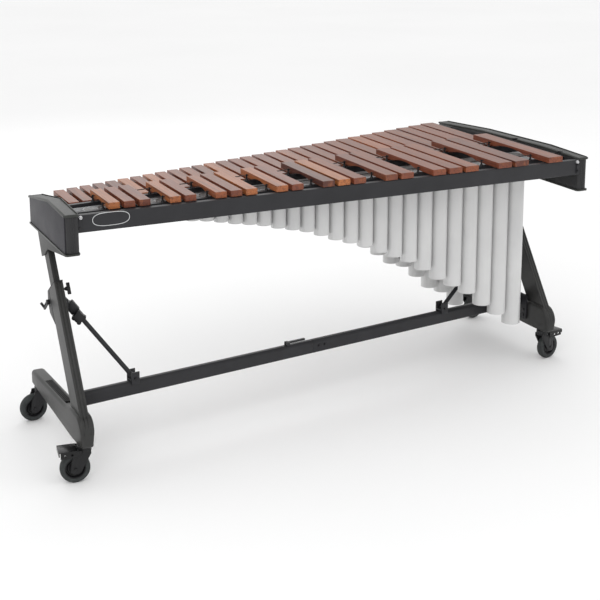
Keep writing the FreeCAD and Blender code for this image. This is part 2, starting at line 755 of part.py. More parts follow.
def lever_parts():
    """The lever that clamps the crossbar's joint: two lugs and a pin that stay, and a flat lever."""
    line = crossbar_line()
    along = unit(Vec(1, line[1], 0))
    across = Vec(-along.y, along.x, 0)
    pivot = lever_pivot()
    lugs = [oriented_box(pivot + across * side * 8.6 - Vec(0, 0, 0.5), along, across, Z_AXIS, (13, 4, 12))
            for side in (-1, 1)]
    pin = rod(pivot - across * 10.6, pivot + across * 10.6, 2.5)
    lugs = [lug.cut(pin) for lug in lugs]
    grip = oriented_box(pivot + along * (LEVER_LONG / 2) + Vec(0, 0, 2.5), along, across, Z_AXIS,
                        (LEVER_LONG, 11, 6))
    grip = fillet_where(grip, 3.0, lambda edge: runs_along(edge, Z_AXIS))
    eye = rod(pivot - across * 5.5, pivot + across * 5.5, 5.5)
    bore = rod(pivot - across * 7, pivot + across * 7, 2.5 + RUNNING_FIT)
    return lugs + [pin], grip.fuse(eye).removeSplitter().cut(bore)


def lever_pivot():
    return Vec(LEVER_X, line_y(crossbar_line(), LEVER_X), CROSSBAR_TOP + 6.5)


def strut_line(end):
    """The strut's pivots: on the mast's inner side, and on the crossbar's middle line."""
    side = 1 if end == "high" else -1
    top = Vec(STAND_X[end] + side * STRUT_TOP_OUT, STRUT_TOP_Y + STAND_SETBACK[end], STRUT_TOP_Z)
    foot_x = STRUT_FOOT_X[end]
    foot = Vec(foot_x, line_y(crossbar_line(), foot_x), CROSSBAR_TOP + STRUT_FOOT_RISE)
    return top, foot


def strut_axes(end):
    top, foot = strut_line(end)
    along = unit(foot - top)
    across = unit(along.cross(Z_AXIS))
    return top, foot, along, across, unit(across.cross(along))


def strut_solids(end):
    """The telescopic brace: a flat outer sleeve, an inner tube, and the collar that clamps them."""
    top, foot, along, across, up = strut_axes(end)
    sleeve = STRUT_SLEEVE
    outer = oriented_box(top + along * (sleeve / 2), along, across, up,
                         (sleeve, STRUT_SLEEVE_WIDE, STRUT_SLEEVE_DEEP))
    outer = fillet_where(outer, 5.0, lambda edge: runs_along(edge, across))
    inner = rod(top + along * 16, foot - along * 16, STRUT_INNER_R)
    outer = outer.cut(rod(top + along * 15, foot, STRUT_INNER_R))
    eye = oriented_box(foot - along * 8, along, across, up, (24, 10, 18))
    eye = fillet_where(eye, 6.0, lambda edge: runs_along(edge, across))
    collar = rod(top + along * sleeve, top + along * (sleeve + 32), STRUT_INNER_R + 6)
    collar = collar.cut(rod(top, foot, STRUT_INNER_R))
    return outer, inner.fuse(eye).removeSplitter(), collar


def strut_mounts(end):
    """The lug on the mast's inner face, the saddle on the crossbar and the two pivot bolts."""
    top, foot, along, across, up = strut_axes(end)
    side = 1 if end == "high" else -1
    face = STAND_X[end] + side * MAST_WIDE / 2
    lug = box(*sorted((face, top.x - side * 3)), top.y - 16, top.y + 16, top.z - 16, top.z + 16)
    bolt = rod(top - across * 16, top + across * 16, 5)
    outer, inner, collar = strut_solids(end)
    lug = lug.cut(outer).cut(bolt)
    line = crossbar_line()
    bar = unit(Vec(1, line[1], 0))
    beside = Vec(-bar.y, bar.x, 0)
    under = Vec(foot.x, line_y(line, foot.x), CROSSBAR_TOP)
    cheeks = [oriented_box(under + beside * out + Vec(0, 0, 12), bar, beside, Z_AXIS, (30, 4, 44))
              for out in (-CROSSBAR_THICK / 2 - 2, CROSSBAR_THICK / 2 + 2)]
    bridge = oriented_box(under + Vec(0, 0, 5), bar, beside, Z_AXIS, (30, CROSSBAR_THICK + 8, 6))
    saddle = cheeks[0].fuse(cheeks[1]).fuse(bridge).removeSplitter()
    pin = rod(foot - beside * 24, foot + beside * 24, 4)
    saddle = saddle.cut(inner).cut(pin)
    return [lug, saddle], [bolt.cut(outer), pin.cut(inner)]


def knob_solid(centre, axis, radius, tall, lobes):
    """A lobed hand knob on a short spindle, its face towards axis."""
    side = unit(axis.cross(Z_AXIS if abs(axis.z) < 0.9 else X_AXIS))
    other = unit(axis.cross(side))
    body = Part.makeCylinder(radius * 0.72, tall, centre, axis)
    for k in range(lobes):
        angle = 2 * math.pi * k / lobes
        lobe = centre + (side * math.cos(angle) + other * math.sin(angle)) * radius * 0.68
        body = body.fuse(Part.makeCylinder(radius * 0.32, tall, lobe, axis))
    return body.removeSplitter()


def strut_knob_centre(end):
    top, foot, along, across, up = strut_axes(end)
    return top + along * (STRUT_SLEEVE + 16), towards_audience(across)


def towards_audience(axis):
    return axis if axis.y < 0 else -axis


def strut_knob(end):
    centre, axis = strut_knob_centre(end)
    base = centre + axis * (STRUT_INNER_R + 6.5)
    return knob_solid(base, axis, 24.0, 15.0, 4)


def lock_knob_centre(end):
    """The height lock's wing knob stands on the mast's inner side."""
    side = 1 if end == "high" else -1
    return mast_point(end, MAST_DEEP / 2, mast_reach(MAST_TOP_Z) - 16, side * MAST_WIDE / 2), X_AXIS * side


def lock_knob(end):
    centre, axis = lock_knob_centre(end)
    spindle = Part.makeCylinder(4.0, 20.0, centre + axis * 0.3, axis)
    hub = Part.makeCone(6.0, 9.0, 10.0, centre + axis * 14, axis)
    wing = oriented_box(centre + axis * 26, axis, ACROSS_MAST, UP_MAST, (11, 8, 42))
    wing = fillet_where(wing, 3.5, lambda edge: runs_along(edge, axis))
    return spindle.fuse(hub).fuse(wing).removeSplitter()


def lift_lever_centre(end):
    """The height lever turns on the outer side of the housing's hump."""
    side = -1 if end == "high" else 1
    return mast_point(end, MAST_DEEP + 26, mast_reach(MAST_TOP_Z) - 34, side * MAST_WIDE / 2), X_AXIS * side


def lift_lever(end):
    centre, axis = lift_lever_centre(end)
    base = centre + axis * 0.3
    boss = Part.makeCylinder(9.0, 9.0, base, axis)
    back = unit(ACROSS_MAST * 58 - UP_MAST * 4)
    arm = oriented_box(base + axis * 5 + back * 28, axis, unit(axis.cross(back)), back, (7, 11, 62))
    tip = base + axis * 5 + back * 55
    peg = rod(tip, tip + axis * 12 + Vec(0, 0, 19), 4.5)
    return boss.fuse(arm).fuse(peg).removeSplitter()


# ---------------------------------------------------------------- casters

def caster_frame(name):
    """Swivel point on the floor, unit vector to the wheel and unit vector along the axle."""
    end, place, angle, braked = CASTERS[name]
    swivel = Vec(STAND_X[end], SWIVEL_Y[place] + STAND_SETBACK[end], 0)
    turn = math.radians(angle)
    trail = Vec(math.cos(turn), math.sin(turn), 0)
    return swivel, trail, Vec(-trail.y, trail.x, 0)


def wheel_centre(name):
    swivel, trail, axle = caster_frame(name)
    return swivel + trail * TRAIL + Vec(0, 0, WHEEL_R)


def fork_solids(name):
    """The swivelling fork with its stem, and the axle it holds."""
    swivel, trail, axle = caster_frame(name)
    centre = wheel_centre(name)
    top = FOOT_BOTTOM - 0.6
    stem = Part.makeCylinder(STEM_R, STEM_REACH, swivel + Vec(0, 0, top - 1))
    head = Part.makeCylinder(24.0, top - 108, swivel + Vec(0, 0, 108))
    head = fillet_where(head, 4.0, lambda edge: edge.BoundBox.ZMin > top - 1)
    body = stem.fuse(head)
    for side in (-1, 1):
        outline = []
        for reach, z in ((-20, 114), (-20, 100), (14, 40), (26, 34), (40, 34), (48, 44), (44, 80),
                         (32, 104), (30, 114)):
            outline.append(swivel + trail * reach + axle * side * (WHEEL_WIDE / 2 + 2) + Vec(0, 0, z))
        face = Part.Face(Part.makePolygon(outline + outline[:1]))
        body = body.fuse(face.extrude(axle * side * 4))
    half = WHEEL_WIDE / 2 + 8
    pin = rod(centre - axle * half, centre + axle * half, AXLE_R)
    if CASTERS[name][3]:
        pivot = pedal_pivot(name)
        body = body.fuse(rod(pivot - axle * PEDAL_HALF, pivot + axle * PEDAL_HALF, PEDAL_PIN_R))
    return [body.removeSplitter().cut(pin), pin]


def wheel_solids(name):
    """The wheel's hub, bored for the axle, and its tyre."""
    axle = caster_frame(name)[2]
    centre = wheel_centre(name)
    half = WHEEL_WIDE / 2
    hub = rod(centre - axle * (half - 1), centre + axle * (half - 1), HUB_R)
    hub = hub.cut(rod(centre - axle * 30, centre + axle * 30, AXLE_R + RUNNING_FIT))
    for side in (-1, 1):
        face = centre + axle * side * (half - 1)
        dish = Part.makeCylinder(HUB_R - 6, 5.0, face - axle * side * 5, axle * side)
        boss = Part.makeCylinder(11.0, 6.0, face - axle * side * 6, axle * side)
        hub = hub.cut(dish.cut(boss))
    tyre = rod(centre - axle * half, centre + axle * half, WHEEL_R)
    tyre = fillet_where(tyre, 5.0, lambda edge: edge.Curve.TypeId == "Part::GeomCircle")
    return hub, tyre.cut(rod(centre - axle * 30, centre + axle * 30, HUB_R))


def pedal_pivot(name):
    swivel, trail, axle = caster_frame(name)
    return swivel + trail * PEDAL_PIVOT[0] + Vec(0, 0, PEDAL_PIVOT[1])


def pedal_solid(name):
    """The brake pedal: a plate over the wheel with a shoe under it and a drilled flange each side."""
    swivel, trail, axle = caster_frame(name)
    pivot = pedal_pivot(name)
    body = oriented_box(pivot + trail * 33 + Vec(0, 0, 6), trail, axle, Z_AXIS, (58, 2 * PEDAL_HALF, 3))
    for side in (-1, 1):
        flange = oriented_box(pivot + trail * 24 + axle * side * (PEDAL_HALF - 1.5) - Vec(0, 0, 5),
                              trail, axle, Z_AXIS, (68, 3, 22))
        for along in (20, 42):
            hole = pivot + trail * along - Vec(0, 0, 6) + axle * side * 20
            flange = flange.cut(Part.makeCylinder(4.0, 16, hole, axle * side))
        body = body.fuse(flange)
    tail = oriented_box(pivot + trail * 62, trail, axle, Z_AXIS, (3, 2 * PEDAL_HALF, 15))
    shoe = oriented_box(pivot + trail * 26 - Vec(0, 0, 2), trail, axle, Z_AXIS, (16, 20, 13))
    body = body.fuse([tail, shoe]).removeSplitter()
    return body.cut(rod(pivot - axle * 40, pivot + axle * 40, PEDAL_PIN_R + RUNNING_FIT))


# ---------------------------------------------------------------- everything

def main():
    os.makedirs("parts", exist_ok=True)
    bars = keyboard()
    for name, solids in bar_groups(bars).items():
        export(name, solids)
    export("suspension_cords", cord_solids(bars))
    export("cord_springs_and_hooks", spring_solids())
    export("cord_posts", post_solids(bars))
    export("post_rails", post_rails())
    beam_top = BEAM_BOTTOM + BEAM_HEIGHT
    export("audience_beam", in_halves(lambda a, b: beam_solid(audience_line(), a, b, beam_top)))
    export("player_beam", in_halves(lambda a, b: beam_solid(player_line(), a, b, PLAYER_BEAM_TOP)))
    ends = end_parts()
    for end in ("high", "low"):
        export("end_block_" + end, [ends[end]["block"]])
    export("end_panels", [ends["high"]["panel"], ends["low"]["panel"]])
    export("end_caps", [ends[end][piece] for end in ends for piece in ("cap", "base")])
    brackets, bracket_bolts = beam_bracket_solids()
    export("beam_plates", brackets + seam_plates())
    export("beam_bracket_bolts", bracket_bolts)
    tubes, stops = tube_solids(bars)
    for row, solids in tubes.items():
        export("resonators_" + row, solids)
    export("resonator_stops", stops)
    export("resonator_strips", strip_solids(bars))
    for end in ("high", "low"):
        export("mast_" + end, [mast_solid(end)])
        export("foot_" + end, [foot_solid(end)])
        export("strut_knob_" + end, [strut_knob(end)])
        export("lock_knob_" + end, [lock_knob(end)])
        export("lift_lever_" + end, [lift_lever(end)])
    export("mast_collars", [collar_solid(end) for end in ("high", "low")])
    export("mast_sliders", [slider_solid(end) for end in ("high", "low")])
    export("mast_brackets", [mast_bracket_solid(end) for end in ("high", "low")])
    export("foot_treads", [tread_solid(end) for end in ("high", "low")])
    x0, x1, plate = crossbar_ends()
    export("crossbar_high", [crossbar_half(x0, CROSSBAR_JOINT_X)])
    export("crossbar_low", [crossbar_half(CROSSBAR_JOINT_X, x1)])
    lugs, lever = lever_parts()
    spigot, joint_bolts = crossbar_spigot()
    export("crossbar_spigot", [spigot] + lugs)
    export("crossbar_lever", [lever])
    plates, plate_bolts = crossbar_plates()
    struts = [strut_solids(end) for end in ("high", "low")]
    export("strut_sleeves", [strut[0] for strut in struts] + [strut[2] for strut in struts])
    export("strut_tubes", [strut[1] for strut in struts])
    mounts = [strut_mounts(end) for end in ("high", "low")]
    export("stand_brackets", plates + mounts[0][0] + mounts[1][0])
    export("stand_bolts", plate_bolts + joint_bolts + mounts[0][1] + mounts[1][1])
    for name in CASTERS:
        export("caster_fork_" + name, fork_solids(name))
        hub, tyre = wheel_solids(name)
        export("wheel_" + name, [hub])
        export("tyre_" + name, [tyre])
        if CASTERS[name][3]:
            export("brake_pedal_" + name, [pedal_solid(name)])


if __name__ == "__main__":
    main()
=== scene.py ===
"""The looks of a concert marimba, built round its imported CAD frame. Every length is in metres."""

import json
import math

import bmesh
import bpy
from mathutils import Matrix, Vector


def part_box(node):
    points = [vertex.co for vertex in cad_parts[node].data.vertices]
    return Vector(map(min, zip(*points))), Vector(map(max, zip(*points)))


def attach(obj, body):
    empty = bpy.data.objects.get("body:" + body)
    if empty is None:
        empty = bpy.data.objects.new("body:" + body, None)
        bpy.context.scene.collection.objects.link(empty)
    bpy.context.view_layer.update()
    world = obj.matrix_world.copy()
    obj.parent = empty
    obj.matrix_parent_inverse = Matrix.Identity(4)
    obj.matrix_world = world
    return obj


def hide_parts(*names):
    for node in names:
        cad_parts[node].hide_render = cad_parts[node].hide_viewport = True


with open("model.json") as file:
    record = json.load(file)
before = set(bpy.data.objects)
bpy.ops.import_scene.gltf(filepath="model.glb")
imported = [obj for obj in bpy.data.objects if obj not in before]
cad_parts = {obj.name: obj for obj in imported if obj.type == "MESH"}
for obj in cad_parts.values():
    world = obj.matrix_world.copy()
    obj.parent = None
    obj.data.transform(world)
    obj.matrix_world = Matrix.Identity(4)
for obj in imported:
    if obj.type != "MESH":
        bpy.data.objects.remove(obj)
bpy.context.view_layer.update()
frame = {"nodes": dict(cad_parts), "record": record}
nodes = frame["nodes"]
bodies = frame["record"]["behaviour"]["bodies"]
node_body = {node: body for body, members in bodies.items() for node in members}
slot_of = {part["node"]: part["material_slot"] for part in frame["record"]["subparts"]}

ENDS = ("high", "low")
CASTERS = ("high_front", "high_rear", "low_front", "low_rear")


# ---------------------------------------------------------------- materials

class Surface:
    """A material's node tree, with short ways to add patterns to its Principled shader."""

    def __init__(self, name, color, rough, metal=0.0, coat=0.0, coat_rough=0.1, specular=0.5):
        self.material = bpy.data.materials.new(name)
        self.material.use_nodes = True
        self.nodes = self.material.node_tree.nodes
        self.links = self.material.node_tree.links
        self.shader = self.nodes["Principled BSDF"]
        self.set("Base Color", (*color, 1))
        self.set("Roughness", rough)
        self.set("Metallic", metal)
        self.set("Coat Weight", coat)
        self.set("Coat Roughness", coat_rough)
        self.set("Specular IOR Level", specular)

    def set(self, socket, value):
        self.shader.inputs[socket].default_value = value

    def drive(self, socket, output):
        self.links.new(output, self.shader.inputs[socket])

    def node(self, kind, **inputs):
        made = self.nodes.new(kind)
        for key, value in inputs.items():
            socket = made.inputs[int(key[1:])] if key[0] == "i" and key[1:].isdigit() else made.inputs[key]
            if isinstance(value, bpy.types.NodeSocket):
                self.links.new(value, socket)
            else:
                socket.default_value = value
        return made

    def place(self, stretch=(1, 1, 1), offset=None):
        """Object coordinates, stretched, and shifted by a number that differs from piece to piece."""
        point = self.node("ShaderNodeTexCoord").outputs["Object"]
        if offset is not None:
            shift = self.node("ShaderNodeCombineXYZ", X=offset, Y=offset, Z=offset)
            moved = self.node("ShaderNodeVectorMath", i0=point, i1=shift.outputs[0])
            point = moved.outputs[0]
        mapping = self.node("ShaderNodeMapping", Vector=point)
        mapping.inputs["Scale"].default_value = stretch
        return mapping.outputs[0]

    def noise(self, point, scale=1.0, detail=2.0, rough=0.5, distortion=0.0):
        made = self.node("ShaderNodeTexNoise", Vector=point, Scale=scale, Detail=detail, Roughness=rough,
                         Distortion=distortion)
        return made.outputs["Fac"]

    def ramp(self, value, stops):
        made = self.node("ShaderNodeValToRGB", Fac=value)
        steps = made.color_ramp.elements
        while len(steps) < len(stops):
            steps.new(0.5)
        for step, (place, color) in zip(steps, stops):
            step.position = place
            step.color = (*color, 1) if len(color) == 3 else color
        return made.outputs[0]

    def grey(self, value, low, high, start=0.3, end=0.7):
        return self.ramp(value, [(start, (low,) * 3), (end, (high,) * 3)])

    def math(self, operation, a, b=0.0):
        made = self.nodes.new("ShaderNodeMath")
        made.operation = operation
        for socket, value in zip(made.inputs, (a, b)):
            if isinstance(value, bpy.types.NodeSocket):
                self.links.new(value, socket)
            else:
                socket.default_value = value
        return made.outputs[0]

    def mix(self, factor, a, b):
        made = self.nodes.new("ShaderNodeMix")
        made.data_type = "RGBA"
        for socket, value in ((made.inputs[0], factor), (made.inputs[6], a), (made.inputs[7], b)):
            if isinstance(value, bpy.types.NodeSocket):
                self.links.new(value, socket)
            else:
                socket.default_value = (*value, 1) if isinstance(value, tuple) and len(value) == 3 else value
        return made.outputs[2]

    def bump(self, height, strength=0.3, distance=0.0005):
        made = self.node("ShaderNodeBump", Height=height, Strength=strength, Distance=distance)
        previous = self.shader.inputs["Normal"]
        if previous.is_linked:
            self.links.new(previous.links[0].from_socket, made.inputs["Normal"])
        self.links.new(made.outputs[0], previous)


def padouk():
    """Oiled padouk: long streaks and fine pores along the bar, its tone set bar by bar, with a painted sheen:
    faces turned upward are tinted a pale tan.
    """
    s = Surface("padouk", (0.3, 0.09, 0.04), 0.42, coat=0.12, coat_rough=0.25, specular=0.35)
    tone = s.node("ShaderNodeAttribute")
    tone.attribute_name = "tone"
    place = tone.outputs["Color"]
    parts = s.node("ShaderNodeSeparateColor", Color=place)
    hue, seed = parts.outputs[0], parts.outputs[1]
    offset = s.math("MULTIPLY", seed, 7.0)
    base = s.ramp(hue, [(0.0, (0.040, 0.014, 0.012)), (0.3, (0.095, 0.026, 0.016)),
                        (0.55, (0.19, 0.048, 0.021)), (0.8, (0.34, 0.098, 0.03)),
                        (1.0, (0.46, 0.17, 0.052))])
    bands = s.noise(s.place((38, 1.6, 38), offset), 1.0, 3.0, 0.55, 0.8)
    banded = s.mix(s.grey(bands, 0.0, 0.55, 0.50, 0.68), base, (0.30, 0.092, 0.030))
    streaks = s.noise(s.place((130, 3.2, 130), offset), 1.0, 5.0, 0.65, 0.7)
    dark = s.mix(s.grey(streaks, 0.0, 0.85, 0.49, 0.70), banded, (0.035, 0.010, 0.008))
    fibres = s.noise(s.place((700, 14, 700), offset), 1.0, 3.0, 0.7)
    fine = s.mix(s.grey(fibres, 0.0, 0.35, 0.5, 0.72), dark, (0.42, 0.16, 0.075))
    pores = s.noise(s.place((1500, 60, 1500), offset), 1.0, 1.0)
    wood = s.mix(s.grey(pores, 0.0, 0.7, 0.62, 0.7), fine, (0.05, 0.015, 0.012))
    # Painted sheen: the more a face turns upward, the more it is mixed toward a pale tan that stands in for
    # the lacquer's sheen under the studio light.
    facing = s.node("ShaderNodeSeparateXYZ", Vector=s.node("ShaderNodeTexCoord").outputs["Normal"])
    up = s.grey(facing.outputs[2], 0.0, 0.30, 0.8, 0.98)
    sheen_painted_wood = s.mix(up, wood, (0.185, 0.090, 0.060))
    s.drive("Base Color", sheen_painted_wood)
    s.drive("Roughness", s.grey(fibres, 0.33, 0.5))
    s.bump(fibres, 0.25, 0.0003)
    s.bump(pores, 0.2, 0.0002)
    return s.material


def powder_coat(name, color, rough=0.42, speck=0.18):
    """Satin powder coat: a fine even orange peel, slightly uneven in tone."""
    s = Surface(name, color, rough, specular=0.3)
    wide = s.noise(s.place((9, 9, 9)), 1.0, 3.0)
    lighter = tuple(min(1, c * (1 + speck)) for c in color)
    darker = tuple(c * (1 - speck) for c in color)
    s.drive("Base Color", s.ramp(wide, [(0.3, darker), (0.7, lighter)]))
    peel = s.noise(s.place((1100, 1100, 1100)), 1.0, 2.0)
    s.drive("Roughness", s.grey(peel, rough - 0.05, rough + 0.07))
    s.bump(peel, 0.18, 0.0003)
    return s.material


def moulded(name, color, rough=0.5, grain=0.0004):
    """Moulded plastic with a leathery spark-eroded grain."""
    s = Surface(name, color, rough, specular=0.32)
    cells = s.node("ShaderNodeTexVoronoi", Vector=s.place((900, 900, 900)), Scale=1.0).outputs["Distance"]
    cloud = s.noise(s.place((14, 14, 14)), 1.0, 4.0)
    darker, lighter = tuple(c * 0.86 for c in color), tuple(c * 1.14 for c in color)
    s.drive("Base Color", s.ramp(cloud, [(0.25, darker), (0.75, lighter)]))
    s.drive("Roughness", s.grey(cloud, rough - 0.05, rough + 0.06))
    s.bump(cells, 0.22, grain)
    return s.material


def lacquered_tube():
    """Pearl-grey lacquer over drawn aluminium: soft sheen, faint draw lines down the tube."""
    s = Surface("tube_lacquer", (0.60, 0.60, 0.60), 0.34, metal=0.15, coat=0.2, coat_rough=0.25)
    lines = s.noise(s.place((420, 420, 3)), 1.0, 2.0)
    cloud = s.noise(s.place((5, 5, 5)), 1.0, 3.0)
    tone = s.ramp(cloud, [(0.3, (0.56, 0.56, 0.56)), (0.7, (0.63, 0.63, 0.625))])
    s.drive("Base Color", s.mix(s.grey(lines, 0.0, 0.12), tone, (0.5, 0.5, 0.505)))
    s.drive("Roughness", s.grey(lines, 0.30, 0.40))
    s.bump(lines, 0.06, 0.0002)
    return s.material


def metal(name, color, rough, brush):
    """Brushed or plated metal; `brush` says how fine its lines are along each axis."""
    s = Surface(name, color, rough, metal=1.0)
    lines = s.noise(s.place(brush), 1.0, 3.0)
    s.drive("Roughness", s.grey(lines, rough - 0.06, rough + 0.1))
    s.drive("Base Color", s.ramp(lines, [(0.3, tuple(c * 0.92 for c in color)), (0.7, color)]))
    s.bump(lines, 0.08, 0.0001)
    return s.material


def rubber(name, color, rough=0.7):
    """Matt rubber with a little dust and a fine grain."""
    s = Surface(name, color, rough, specular=0.3)
    dust = s.noise(s.place((60, 60, 60)), 1.0, 5.0, 0.6)
    s.drive("Base Color", s.ramp(dust, [(0.35, color), (0.75, tuple(c * 1.5 + 0.01 for c in color))]))
    s.drive("Roughness", s.grey(dust, rough - 0.06, rough + 0.12))
    s.bump(s.noise(s.place((1800, 1800, 1800)), 1.0, 2.0), 0.25, 0.0002)
    return s.material


def braid(name, color):
    """A braided cord's weave: two crossed sets of slanting strands."""
    s = Surface(name, color, 0.75, specular=0.25)
    weave = s.node("ShaderNodeTexWave", Vector=s.place((1, 1, 1)), Scale=260.0, Distortion=1.5, Detail=1.0)
    weave.bands_direction = "DIAGONAL"
    s.drive("Base Color", s.ramp(weave.outputs["Fac"], [(0.2, tuple(c * 0.5 for c in color)), (0.8, color)]))
    s.bump(weave.outputs["Fac"], 0.6, 0.0006)
    return s.material


MATERIALS = {
    "padouk": padouk(),
    "cord": braid("cord_braid", (0.05, 0.045, 0.045)),
    "silver": metal("satin_aluminium", (0.62, 0.63, 0.635), 0.4, (3, 300, 300)),
    "steel": metal("plated_steel", (0.62, 0.62, 0.63), 0.25, (40, 40, 40)),
    "frame_black": powder_coat("frame_powder_coat", (0.020, 0.020, 0.0225)),
    "mast_grey": powder_coat("mast_powder_coat", (0.028, 0.028, 0.027), 0.42),
    "end_block": powder_coat("end_block_paint", (0.022, 0.022, 0.023), 0.4),
    "end_panel": moulded("end_panel_grain", (0.033, 0.032, 0.038), 0.55),
    "end_cap": powder_coat("end_cap_paint", (0.029, 0.031, 0.028), 0.4),
    "tube": lacquered_tube(),
    "black_plastic": moulded("black_plastic", (0.011, 0.011, 0.012), 0.40),
    "tread": rubber("tread_rubber", (0.008, 0.008, 0.008)),
    "tyre": rubber("tyre_rubber", (0.026, 0.029, 0.029)),
    "gloss_black": moulded("gloss_black", (0.006, 0.006, 0.0065), 0.22),
    "strip": powder_coat("pale_strip_lacquer", (0.46, 0.47, 0.475), 0.4, 0.05),
    "blackened": metal("blackened_steel", (0.045, 0.045, 0.047), 0.34, (60, 60, 60)),
    "caster_black": powder_coat("caster_coat", (0.012, 0.012, 0.013), 0.36),
}


# ---------------------------------------------------------------- meshes and pieces

def dress(obj, slot):
    """Gives an object one material and no other."""
    obj.data.materials.clear()
    obj.data.materials.append(MATERIALS[slot])


def smooth(obj, angle=35):
    """Smooth shading with crisp edges, kept in the mesh itself."""
    for polygon in obj.data.polygons:
        polygon.use_smooth = True
    obj.data.set_sharp_from_angle(angle=math.radians(angle))


def add_piece(name, mesh, slot, body, angle=35):
    """A new visible piece that rides a body, dressed in the material of its slot."""
    obj = bpy.data.objects.new(name, mesh)
    bpy.context.scene.collection.objects.link(obj)
    dress(obj, slot)
    smooth(obj, angle)
    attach(obj, body)
    return obj


def islands(mesh):
    """The separate solids of a mesh, each as a list of vertex numbers."""
    parent = list(range(len(mesh.vertices)))

    def find(i):
        while parent[i] != i:
            parent[i] = parent[parent[i]]
            i = parent[i]
        return i

    corners = {}
    for vertex in mesh.vertices:
        key = tuple(round(c, 6) for c in vertex.co)
        parent[vertex.index] = find(corners.setdefault(key, vertex.index))
    for edge in mesh.edges:
        a, b = find(edge.vertices[0]), find(edge.vertices[1])
        parent[a] = b
    groups = {}
    for i in range(len(mesh.vertices)):
        groups.setdefault(find(i), []).append(i)
    return list(groups.values())


def span(mesh, group):
    """The low and high corners of some of a mesh's vertices."""
    points = [mesh.vertices[i].co for i in group]
    low = Vector([min(p[k] for p in points) for k in range(3)])
    high = Vector([max(p[k] for p in points) for k in range(3)])
    return low, high


def solid_copy(node):
    """A CAD node's mesh as one closed surface, its flat faces whole again."""
    bm = bmesh.new()
    bm.from_mesh(nodes[node].data)
    bmesh.ops.remove_doubles(bm, verts=bm.verts, dist=1e-6)
    bmesh.ops.dissolve_limit(bm, angle_limit=math.radians(1), verts=bm.verts, edges=bm.edges)
    return bm


def round_edges(bm, offset):
    """Rounds every edge at which the faces turn by more than 30 degrees."""
    edges = [edge for edge in bm.edges if edge.is_manifold and edge.calc_face_angle(0) > math.radians(30)]
    bmesh.ops.bevel(bm, geom=edges, offset=offset, segments=2, affect="EDGES", profile=0.5,
                    clamp_overlap=True)


def mesh_of(bm, name):
    """A mesh made of a bmesh, its faces all turned outward."""
    mesh = bpy.data.meshes.new(name)
    bmesh.ops.recalc_face_normals(bm, faces=bm.faces)
    bm.to_mesh(mesh)
    bm.free()
    return mesh


def refine(node, offset):
    """A copy of a CAD node with its edges rounded, so that they catch the light."""
    bm = solid_copy(node)
    round_edges(bm, offset)
    name = node + "_rounded"
    piece = add_piece(name, mesh_of(bm, name), slot_of[node], node_body[node], 40)
    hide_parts(node)
    return piece


def loft(rings, closed_ends=True):
    """A surface through rings of points, each with the same number of points."""
    bm = bmesh.new()
    made = [[bm.verts.new(point) for point in ring] for ring in rings]
    count = len(rings[0])
    for near, far in zip(made, made[1:]):
        for k in range(count):
            bm.faces.new((near[k], near[(k + 1) % count], far[(k + 1) % count], far[k]))
    if closed_ends:
        bm.faces.new(made[0])
        bm.faces.new(list(reversed(made[-1])))
    return bm


def lathe(profile, centre, axis, steps=48):
    """A closed ring of (radius, along) points turned about an axis."""
    axis = Vector(axis).normalized()
    side = axis.orthogonal().normalized()
    other = axis.cross(side)
    rings = []
    for k in range(steps):
        turn = 2 * math.pi * k / steps
        out = side * math.cos(turn) + other * math.sin(turn)
        rings.append([Vector(centre) + out * radius + axis * along for radius, along in profile])
    bm = loft(rings, False)
    bm.verts.ensure_lookup_table()
    count = len(profile)
    last = (steps - 1) * count
    for k in range(count):
        after = (k + 1) % count
        bm.faces.new((bm.verts[last + k], bm.verts[last + after], bm.verts[after], bm.verts[k]))
    return bm


def join(target, source):
    """Adds one bmesh to another and frees it."""
    held = bpy.data.meshes.new("held")
    source.to_mesh(held)
    source.free()
    target.from_mesh(held)
    bpy.data.meshes.remove(held)


# ---------------------------------------------------------------- tone bars

# How orange each bar is, from 0 (purple-brown) to 1 (golden), bass to treble.
TONES = {
    "bars_natural_octave_3": (0.42, 0.55, 0.48, 0.38, 0.5, 0.62, 0.8, 0.45, 0.5),
    "bars_natural_octave_4": (0.55, 0.4, 0.52, 0.62, 0.5, 0.44, 0.58),
    "bars_natural_octave_5": (0.5, 0.42, 0.85, 0.3, 0.55, 0.48, 0.6),
    "bars_natural_octave_6": (0.86, 0.5, 0.88, 0.3, 0.34, 0.52, 0.45, 0.6),
    "bars_accidental_octave_3": (0.5, 0.3, 0.45, 0.6, 0.5, 0.55),
    "bars_accidental_octave_4": (0.5, 0.4, 0.5, 0.92, 0.18),
    "bars_accidental_octave_5": (0.5, 0.85, 0.88, 0.45, 0.72),
    "bars_accidental_octave_6": (0.5, 0.85, 0.4, 0.5, 0.9),
}


def dress_bars(node, tones):
    """A copy of a group of bars, with each bar's own tone and grain kept in a colour attribute."""
    mesh = nodes[node].data.copy()
    mesh.name = node + "_wood"
    attribute = mesh.color_attributes.new("tone", "FLOAT_COLOR", "POINT")
    groups = sorted(islands(mesh), key=lambda group: -span(mesh, group)[0].x)
    for place, group in enumerate(groups):
        tone = tones[place % len(tones)]
        seed = (place * 0.618 + len(node) * 0.37 + tone) % 1.0
        for i in group:
            attribute.data[i].color = (tone, seed, 0, 1)
    piece = add_piece(node + "_wood", mesh, "padouk", node_body[node], 30)
    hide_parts(node)


# ---------------------------------------------------------------- stands

